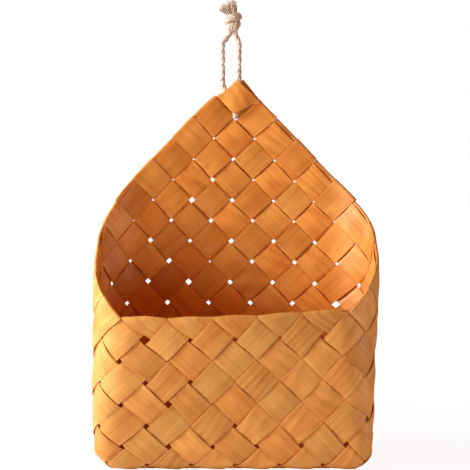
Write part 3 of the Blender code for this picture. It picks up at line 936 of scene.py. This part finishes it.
def edge_material(name, colour):
    """The raw cut edge of the straps, paler than their faces."""
    material, tree, shader = new_material(name)
    noise = speckles(tree, 900.0)
    dark = [value * 0.7 for value in colour]
    feed(shader, {
        "Base Color": ramped(tree, noise, ((0.3, dark), (0.7, colour))),
        "Roughness": 0.6,
        "Normal": bumped(tree, noise, 0.3, 0.1 * MM),
    })
    return material


def twine_material(name, pale, deep):
    """Dry jute: pale fibres with darker ones among them."""
    material, tree, shader = new_material(name)
    fine = speckles(tree, 2600.0, 0.6)
    both = mixed(tree, 0.2, speckles(tree, 150.0), fine)
    feed(shader, {
        "Base Color": ramped(tree, both, ((0.32, deep), (0.56, pale))),
        "Roughness": 0.9,
        "Sheen Weight": 0.3,
        "Normal": bumped(tree, fine, 0.35, 0.2 * MM),
    })
    return material


# Twine shapes

def smooth_route(points, spans):
    """Points along a smooth curve through the points of a route."""
    padded = [2 * points[0] - points[1], *points, 2 * points[-1] - points[-2]]
    route = []
    for a, b, c, d in zip(padded, padded[1:], padded[2:], padded[3:]):
        for n in range(spans):
            s = n / spans
            route.append((2 * b + (c - a) * s + (2 * a - 5 * b + 4 * c - d) * s**2
                          + (3 * b - a - 3 * c + d) * s**3) / 2)
    return route + [points[-1]]


def evenly(points, step):
    """Points at even distances along a route."""
    lengths = [(b - a).length for a, b in zip(points, points[1:])]
    count = max(round(sum(lengths) / step), 2)
    gap = sum(lengths) / count
    out, at, part = [points[0]], 0, 0.0
    for n in range(1, count):
        want = n * gap
        while part + lengths[at] < want and at < len(lengths) - 1:
            part += lengths[at]
            at += 1
        out.append(points[at].lerp(points[at + 1], (want - part) / lengths[at]))
    return out + [points[-1]]


def carried_frames(points):
    """A pair of directions across the route at each of its points, turned as little as may be."""
    frames = []
    across = None
    for n, point in enumerate(points):
        ahead = (points[min(n + 1, len(points) - 1)] - points[max(n - 1, 0)]).normalized()
        if across is None:
            across = ahead.orthogonal().normalized()
        across = (across - ahead * across.dot(ahead)).normalized()
        frames.append((across.copy(), ahead.cross(across)))
    return frames


def new_object(name, data):
    """A new object, linked into the scene."""
    piece = bpy.data.objects.new(name, data)
    bpy.context.collection.objects.link(piece)
    return piece


def add_tube(curve, points, radii):
    """Adds one open line with its own widths to a curve."""
    spline = curve.splines.new("POLY")
    spline.points.add(len(points) - 1)
    for target, point, radius in zip(spline.points, points, radii):
        target.co = (*point, 1.0)
        target.radius = radius


def curve_mesh(name, curve, material):
    """The mesh of a curve, as a new object, with the curve removed."""
    holder = new_object(name + "_line", curve)
    ready = holder.evaluated_get(bpy.context.evaluated_depsgraph_get())
    data = bpy.data.meshes.new_from_object(ready)
    bpy.data.objects.remove(holder, do_unlink=True)
    bpy.data.curves.remove(curve)
    data.name = name
    data.materials.append(material)
    data.shade_smooth()
    return new_object(name, data)


def new_tube_curve(name):
    """An empty curve whose lines are round and closed at their ends."""
    curve = bpy.data.curves.new(name, "CURVE")
    curve.dimensions = "3D"
    curve.bevel_depth = 1.0
    curve.bevel_resolution = 2
    curve.use_fill_caps = True
    return curve


def lay_twine(curve, points, settings, draw, fuzz, taper=0.0, twist=1.0):
    """Adds the plies of a length of twine, and the short fibres that stand off it."""
    points = evenly(points, TWINE_STEP)
    frames = carried_frames(points)
    gap = (points[1] - points[0]).length
    radius = settings.diameter / 2
    for number in range(PLY_COUNT):
        line, radii = [], []
        for n, (point, (across, over)) in enumerate(zip(points, frames)):
            angle = math.tau * (n * gap * twist / settings.lay + number / PLY_COUNT)
            swell = 1.0 + 0.03 * math.sin(n / 5 + number)
            end = min(n, len(points) - 1 - n) * gap
            close = 1.0 - taper * (1.0 - smooth(end / radius))
            out = across * math.cos(angle) + over * math.sin(angle)
            line.append(point + out * (radius * PLY_OFFSET_SHARE))
            radii.append(radius * PLY_RADIUS_SHARE * swell * close)
        add_tube(curve, line, radii)
    for _ in range(fuzz):
        n = draw.randrange(1, len(points) - 1)
        across, over = frames[n]
        ahead = (points[n + 1] - points[n - 1]).normalized()
        angle = draw.uniform(0.0, math.tau)
        out = across * math.cos(angle) + over * math.sin(angle)
        reach = draw.uniform(*FUZZ_REACH) * MM
        lean = ahead * draw.uniform(-FUZZ_LEAN, FUZZ_LEAN) + over * draw.uniform(-FUZZ_SWAY, FUZZ_SWAY)
        start = points[n] + out * radius * 0.8
        line = [start + (out * s + lean * s * s) * reach for s, _ in FUZZ_LINE]
        add_tube(curve, line, [thick * MM for _, thick in FUZZ_LINE])


def apex_point():
    """Corner of the rim at the top of the gable, in the middle of the wall."""
    return even_point(APEX_COUNT, rim_at(APEX_COUNT), 2)


def twine_depths():
    """How far behind and in front of the wall's middle the twine lies at the apex."""
    behind = 3 * LAYER_STEP / 2 + STRAP_THICKNESS / 2 + TWINE_CLEARANCE + TWINE_RADIUS
    inside = LAYER_STEP / 2 + STRAP_THICKNESS / 2 + TWINE_CLEARANCE + TWINE_RADIUS
    return behind, -inside


def axis_offset():
    """Middle of the loop's axis, from the apex."""
    behind, inside = twine_depths()
    return Vector(((LEFT_LEG_X + RIGHT_LEG_X) / 2, (behind + inside) / 2, AXIS_ABOVE_APEX))


def captive_route():
    """The twine that the apex holds: down behind, through the hole and up in the pocket."""
    behind, inside = twine_depths()
    axis_y = axis_offset().y
    hole = -CELL * (rim_at(APEX_COUNT) - APEX_COUNT)
    top = AXIS_ABOVE_APEX - TWINE_CLEARANCE
    turns = [n * math.pi / 6 for n in range(4)]
    down = [(behind - (1.0 - math.cos(a)) * TWINE_BEND, hole + (1.0 - math.sin(a)) * TWINE_BEND)
            for a in turns]
    up = [(inside + (1.0 - math.sin(a)) * TWINE_BEND, hole + (1.0 - math.cos(a)) * TWINE_BEND)
          for a in turns]
    route = [
        (LEFT_LEG_X, axis_y, top),
        (LEFT_LEG_X, axis_y, top * 3 / 4),
        (LEFT_LEG_X, (axis_y + behind) / 2, 0.0),
        (LEFT_LEG_X, behind, hole / 5),
        (LEFT_LEG_X * 3 / 4, behind, hole * 2 / 5),
        (LEFT_LEG_X / 4, behind, hole * 3 / 4),
        *[(0.0, y, z) for y, z in down],
        *[(0.0, y, z) for y, z in up],
        (RIGHT_LEG_X / 4, inside, hole * 3 / 4),
        (RIGHT_LEG_X, inside, hole / 3),
        (RIGHT_LEG_X, inside, hole / 8),
        (RIGHT_LEG_X, (axis_y + 2 * inside) / 3, 0.0),
        (RIGHT_LEG_X, axis_y, top * 3 / 4),
        (RIGHT_LEG_X, axis_y, top),
    ]
    return smooth_route([apex_point() + Vector(point) for point in route], 4)


def hanger_point(x, z, y=0.0):
    """A place on the loop, from the middle of its axis: x from the apex, z above the axis."""
    axis = axis_offset()
    return apex_point() + Vector((x, axis.y + y, axis.z + z))


def leg_route(low_x, high_x):
    """One leg of the loop, from its axis up to the knot."""
    top = KNOT_BOTTOM - AXIS_ABOVE_APEX - TWINE_CLEARANCE
    route = [(low_x, 0.0), (low_x, top / 5), (low_x, top * 3 / 5),
             ((low_x + high_x) / 2, top * 3 / 4), (high_x, top * 9 / 10), (high_x, top)]
    return smooth_route([hanger_point(x, z) for x, z in route], ROUTE_SPANS)


def tail_route(x, route):
    """One frayed tail of the twine, from the top of the knot."""
    top = KNOT_BOTTOM - AXIS_ABOVE_APEX + KNOT_HEIGHT + TWINE_CLEARANCE
    return smooth_route([hanger_point(x + across * MM, top + rise * MM) for across, rise in route], 3)


# Settings

def length_setting(name, description, default, low, high):
    """A length that the user can change."""
    return bpy.props.FloatProperty(
        name=name, description=description, default=default, min=low, max=high, unit="LENGTH")


def count_setting(name, description, default, low=0):
    """A whole number that the user can change."""
    return bpy.props.IntProperty(name=name, description=description, default=default, min=low)


def light_setting(name, description, default):
    """The strength of a light, that the user can change."""
    return bpy.props.FloatProperty(name=name, description=description, default=default, min=0.0)


def colour_setting(name, description, default):
    """A colour that the user can change."""
    return bpy.props.FloatVectorProperty(
        name=name, description=description, default=default, subtype="COLOR", size=3, min=0.0, max=1.0)


class StrapSettings(bpy.types.PropertyGroup):
    """Sizes and colours of the wood straps."""

    width: length_setting("Strap width", "Width of each wood strap", STRAP_WIDTH, 20 * MM, 28 * MM)
    thickness: length_setting(
        "Strap thickness", "Thickness of the veneer", STRAP_THICKNESS, 0.4 * MM, 1.0 * MM)
    bow: length_setting(
        "Bow", "How far a strap stands out between its neighbours", 1.0 * MM, 0.0, 2.0 * MM)
    wander: length_setting(
        "Wander", "How much the gaps between the straps differ from their mean", GAP_SPREAD, 0.0, 2.0 * MM)
    edge_bevel: length_setting(
        "Edge bevel", "Size of the worn edge along each strap", 0.14 * MM, 0.0, 0.3 * MM)
    seed: count_setting("Seed", "Changes the gaps between the straps and their grain and tone", 7)
    pale: colour_setting("Pale wood", "Lightest tone of the veneer", (0.92, 0.545, 0.155))
    deep: colour_setting("Deep wood", "Darkest tone of the veneer", (0.69, 0.31, 0.064))
    # The inside tint is painted shade for the faces inside the basket.
    inside: colour_setting(
        "Inside painted shade", "Painted shade, darker and redder, on the faces inside the basket", (1.0, 0.82, 0.62))
    cut_edge: colour_setting("Cut edge", "Colour of the raw edges of the veneer", (0.95, 0.52, 0.19))


class TwineSettings(bpy.types.PropertyGroup):
    """Sizes and colours of the jute twine."""

    diameter: length_setting(
        "Twine diameter", "Thickness of the twine over its two plies", 4.0 * MM, 3.0 * MM, 5.0 * MM)
    lay: length_setting(
        "Lay", "Length of twine in which a ply goes round once", 13.5 * MM, 6.0 * MM, 30.0 * MM)
    fuzz: count_setting("Loose fibres", "Number of short fibres on each leg of the loop", 44)
    fray: count_setting("Frayed fibres", "Number of fibres in each frayed tail", 54, 8)
    pale: colour_setting("Pale fibre", "Colour of most of the fibres", (0.74, 0.70, 0.59))
    deep: colour_setting("Deep fibre", "Colour of the darker fibres", (0.47, 0.39, 0.28))


class StageSettings(bpy.types.PropertyGroup):
    """The light round the basket."""

    key_power: light_setting("Key light", "Power of the high lamp at the left", 30.5)
    fill_power: light_setting("Fill light", "Power of the large lamp at the front left", 6.2)
    side_power: light_setting("Side light", "Power of the low lamp at the right", 5.2)
    fill_colour: colour_setting("Fill colour", "Colour of the lamp at the front left", (1.0, 0.68, 0.44))
    sky: light_setting("Sky", "Strength of the light from all round", 0.27)
    warmth: colour_setting("Sky colour", "Colour of the light from all round", (1.0, 0.27, 0.05))


# Operators

class BASKET_OT_camera(bpy.types.Operator):
    """Sets the camera where the photograph was taken from"""

    bl_idname = "basket.camera"
    bl_label = "Camera"

    def execute(self, context):
        data = bpy.data.cameras.new("basket_camera")
        data.lens = CAMERA_LENS
        data.sensor_width = 36.0
        data.clip_start = 0.05
        camera = new_object("basket_camera", data)
        camera.location = CAMERA_PLACE
        camera.rotation_euler = (math.pi / 2 - CAMERA_TILT, 0.0, 0.0)
        context.scene.camera = camera
        return {"FINISHED"}


class BASKET_OT_twine(bpy.types.Operator):
    """Lays the twine: its two free legs, the stretch that the apex holds, the knot and the tails"""

    bl_idname = "basket.twine"
    bl_label = "Twine loop"

    def execute(self, context):
        settings = context.scene.basket_twine
        material = twine_material("jute_twine", settings.pale, settings.deep)
        draw = random.Random(TWINE_SEED)
        knot = self.knot(settings, material, draw)
        routes = (("frayed_tail_left", tail_route(LEFT_END_X, LEFT_TAIL_ROUTE)),
                  ("frayed_tail_right", tail_route(RIGHT_END_X, RIGHT_TAIL_ROUTE)))
        tails = [self.tail(name, settings, material, draw, route) for name, route in routes]
        for piece, node in zip((knot, *tails), ("twine_knot", "left_twine_tail", "right_twine_tail")):
            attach(piece, "hanger")
            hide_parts(node)
        legs = (("left", LEFT_LEG_X, LEFT_END_X, [knot, tails[0]]),
                ("right", RIGHT_LEG_X, RIGHT_END_X, [tails[1]]))
        for side, low_x, high_x, with_pieces in legs:
            route = leg_route(low_x, high_x)
            curve = new_tube_curve("leg")
            lay_twine(curve, route, settings, draw, settings.fuzz, taper=0.5)
            leg = curve_mesh(f"twine_leg_{side}", curve, material)
            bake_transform(leg)
            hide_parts(f"{side}_loop_leg")
        curve = new_tube_curve("held")
        lay_twine(curve, captive_route(), settings, draw, settings.fuzz // 2, taper=0.5)
        held = curve_mesh("twine_held_by_apex", curve, material)
        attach(held, "basket")
        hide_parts("captive_twine")
        return {"FINISHED"}

    def knot(self, settings, material, draw):
        """The knot: both legs run up through it, and two wraps go round them."""
        low = KNOT_BOTTOM - AXIS_ABOVE_APEX
        curve = new_tube_curve("knot")
        for low_x, wide_x, high_x, deep in KNOT_STRANDS:
            across = (low_x, (low_x + wide_x) / 2, wide_x, (wide_x + high_x) / 2, high_x)
            depths = (deep / 3, deep * 4 / 5, deep, deep * 4 / 5, deep / 5)
            points = [hanger_point(x * MM, low + z * MM, y * MM)
                      for x, y, z in zip(across, depths, STRAND_HEIGHTS)]
            lay_twine(curve, smooth_route(points, 5), settings, draw, STRAND_FUZZ, twist=KNOT_TWIST)
        for middle, height, wide, deep, slope in KNOT_WRAPS:
            points = []
            for n in range(WRAP_STEPS + 1):
                angle = math.tau * n / WRAP_STEPS + math.pi / 2
                x, y = wide * math.cos(angle), deep * math.sin(angle)
                points.append(hanger_point((middle + x) * MM, low + (height + slope * x) * MM, y * MM))
            lay_twine(curve, smooth_route(points, 4), settings, draw, WRAP_FUZZ, twist=KNOT_TWIST)
        return curve_mesh("knot_of_twine", curve, material)

    def tail(self, name, settings, material, draw, route):
        """A frayed end: its fibres start in a bundle and spread."""
        curve = new_tube_curve(name)
        points = evenly(route, 1.0 * MM)
        frames = carried_frames(points)
        for _ in range(settings.fray):
            angle = draw.uniform(0.0, math.tau)
            start = math.sqrt(draw.random()) * settings.diameter * 0.5
            spread = draw.uniform(*FRAY_SPREAD)
            curl = draw.uniform(-FRAY_CURL, FRAY_CURL)
            stop = len(points) - draw.randrange(0, FRAY_STEPS_SHORT)
            thick = draw.uniform(*FRAY_RADIUS) * MM
            line, radii = [], []
            for n in range(stop):
                share = n / (len(points) - 1)
                across, over = frames[n]
                turned = angle + share * 2.0 + curl * share
                stray = share**2 * draw.uniform(0.0, 0.5) * MM
                reach = start * (1.0 + spread * smooth(share * 1.3)) + stray
                line.append(points[n] + (across * math.cos(turned) + over * math.sin(turned)) * reach)
                radii.append(thick * (1.0 - 0.7 * share**2))
            add_tube(curve, line, radii)
        return curve_mesh(name, curve, material)


class BASKET_OT_straps(bpy.types.Operator):
    """Plaits the sixteen wood straps, each as one strip from rim to rim"""

    bl_idname = "basket.straps"
    bl_label = "Wood straps"

    def execute(self, context):
        settings = context.scene.basket_straps
        plait = Plait(settings)
        draw = random.Random(settings.seed + 1)
        edge = edge_material("strap_edge", settings.cut_edge)
        counts = {"right": 0, "left": 0}
        for places in plait.straps:
            lean = lean_of(places)
            counts[lean] += 1
            name = f"{lean}_{counts[lean]}"
            data = strap_mesh("wood_strap_" + name, strap_rows(plait, places))
            tone, green = draw.uniform(*TONE_RANGE), draw.uniform(*GREEN_RANGE)
            shares = (tone, tone * green, tone * green**2)
            pale = [min(value * share, 1.0) for value, share in zip(settings.pale, shares)]
            deep = [value * share for value, share in zip(settings.deep, shares)]
            # The pale colour of the painted highlight along the edges of the faces.
            worn = [value * tone for value in settings.cut_edge]
            arches = draw.choice(ARCH_SHARES)
            shift = draw.uniform(*GRAIN_RANGE)
            data.materials.append(
                wood_material("wood_" + name, pale, deep, worn, settings.inside, shift, arches))
            data.materials.append(edge)
            strap = new_object("wood_strap_" + name, data)
            solid = strap.modifiers.new("thickness", "SOLIDIFY")
            solid.thickness = settings.thickness
            solid.offset = 0.0
            solid.material_offset_rim = 1
            bevel = strap.modifiers.new("worn edges", "BEVEL")
            bevel.width = settings.edge_bevel
            bevel.segments = 1
            bevel.profile = 0.5
            bevel.material = -1
            bevel.limit_method = "ANGLE"
            bevel.angle_limit = math.radians(60)
            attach(strap, "basket")
            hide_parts(f"{lean}_leaning_strap_{counts[lean]}")
        if sum(counts.values()) != len(plait.straps):
            raise RuntimeError("a strap was left out")
        return {"FINISHED"}


class BASKET_OT_stage(bpy.types.Operator):
    """Sets the pale floor, the white surroundings and the soft lamps"""

    bl_idname = "basket.stage"
    bl_label = "Floor and light"

    def execute(self, context):
        settings = context.scene.basket_stage
        mesh = bmesh.new()
        bmesh.ops.create_grid(mesh, x_segments=1, y_segments=1, size=FLOOR_SIZE)
        data = bpy.data.meshes.new("floor")
        mesh.to_mesh(data)
        mesh.free()
        floor = new_object("floor", data)
        data.materials.append(self.floor_material())
        context.scene.world = self.world(settings.sky, settings.warmth)
        self.lamp("key", settings.key_power, WHITE, *KEY_LAMP)
        self.lamp("fill", settings.fill_power, settings.fill_colour, *FILL_LAMP)
        self.lamp("side", settings.side_power, WHITE, *SIDE_LAMP)
        context.scene.view_settings.view_transform = "Standard"
        return {"FINISHED"}

    def floor_material(self):
        """Pale and matt, and shown to the camera as white but for a slight grey round the basket."""
        material, tree, shader = new_material("pale_floor")
        feed(shader, {"Base Color": (0.9, 0.9, 0.9, 1.0), "Roughness": 0.9})
        where = add(tree, "TexCoord", {})["Object"]
        far = add(tree, "VectorMath", {0: where}, operation="LENGTH")["Value"]
        share = mapped(tree, far, FLOOR_NEAR, FLOOR_FAR, FLOOR_NEAR_SHARE)
        seen = add(tree, "LightPath", {})["Is Camera Ray"]
        share = add(tree, "Math", {0: seen, 1: share}, operation="MULTIPLY")["Value"]
        glow = add(tree, "Emission", {"Strength": FLOOR_GLOW})["Emission"]
        both = add(tree, "MixShader", {"Fac": share, 1: shader.outputs["BSDF"], 2: glow})["Shader"]
        feed(tree.nodes["Material Output"], {"Surface": both})
        return material

    def world(self, sky, warmth):
        """White for the camera, and an even warm light on the rest."""
        world = bpy.data.worlds.new("white_room")
        world.use_nodes = True
        tree = world.node_tree
        dim = tree.nodes["Background"]
        feed(dim, {"Color": (*warmth, 1.0), "Strength": sky})
        white = add(tree, "Background", {"Color": (*WHITE, 1.0), "Strength": 1.0})["Background"]
        rays = add(tree, "LightPath", {})
        seen = add(tree, "Math", {0: rays["Is Camera Ray"], 1: rays["Is Transmission Ray"]},
                   operation="MAXIMUM")["Value"]
        both = add(tree, "MixShader", {"Fac": seen, 1: dim.outputs["Background"], 2: white})["Shader"]
        feed(tree.nodes["World Output"], {"Surface": both})
        return world

    def lamp(self, name, power, colour, size, place):
        """A square soft lamp that faces the middle of the basket."""
        data = bpy.data.lights.new(name, "AREA")
        data.energy = power
        data.size = size
        data.color = colour
        lamp = new_object(name, data)
        lamp.location = place
        lamp.rotation_euler = (LIT_PLACE - Vector(place)).to_track_quat("-Z", "Y").to_euler()


class BASKET_PT_panel(bpy.types.Panel):
    """Lists the steps that build the basket"""

    bl_idname = "BASKET_PT_panel"
    bl_label = "Wall basket"
    bl_space_type = "VIEW_3D"
    bl_region_type = "UI"
    bl_category = "Basket"

    def draw(self, context):
        for operator in OPERATORS:
            self.layout.operator(operator.bl_idname)
        for group in ("basket_straps", "basket_twine", "basket_stage"):
            settings = getattr(context.scene, group)
            for name in settings.bl_rna.properties.keys():
                if name not in ("rna_type", "name"):
                    self.layout.prop(settings, name)


OPERATORS = (BASKET_OT_camera, BASKET_OT_twine, BASKET_OT_straps, BASKET_OT_stage)
SETTINGS = {"basket_straps": StrapSettings, "basket_twine": TwineSettings, "basket_stage": StageSettings}


def register():
    for item in (*SETTINGS.values(), *OPERATORS, BASKET_PT_panel):
        bpy.utils.register_class(item)
    for name, group in SETTINGS.items():
        setattr(bpy.types.Scene, name, bpy.props.PointerProperty(type=group))


def unregister():
    for name in SETTINGS:
        delattr(bpy.types.Scene, name)
    for item in (BASKET_PT_panel, *reversed(OPERATORS), *SETTINGS.values()):
        bpy.utils.unregister_class(item)


def main():
    register()
    bpy.ops.basket.camera()
    bpy.ops.basket.twine()
    bpy.ops.basket.straps()
    bpy.ops.basket.stage()
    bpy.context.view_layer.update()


if __name__ == "__main__":
    main()
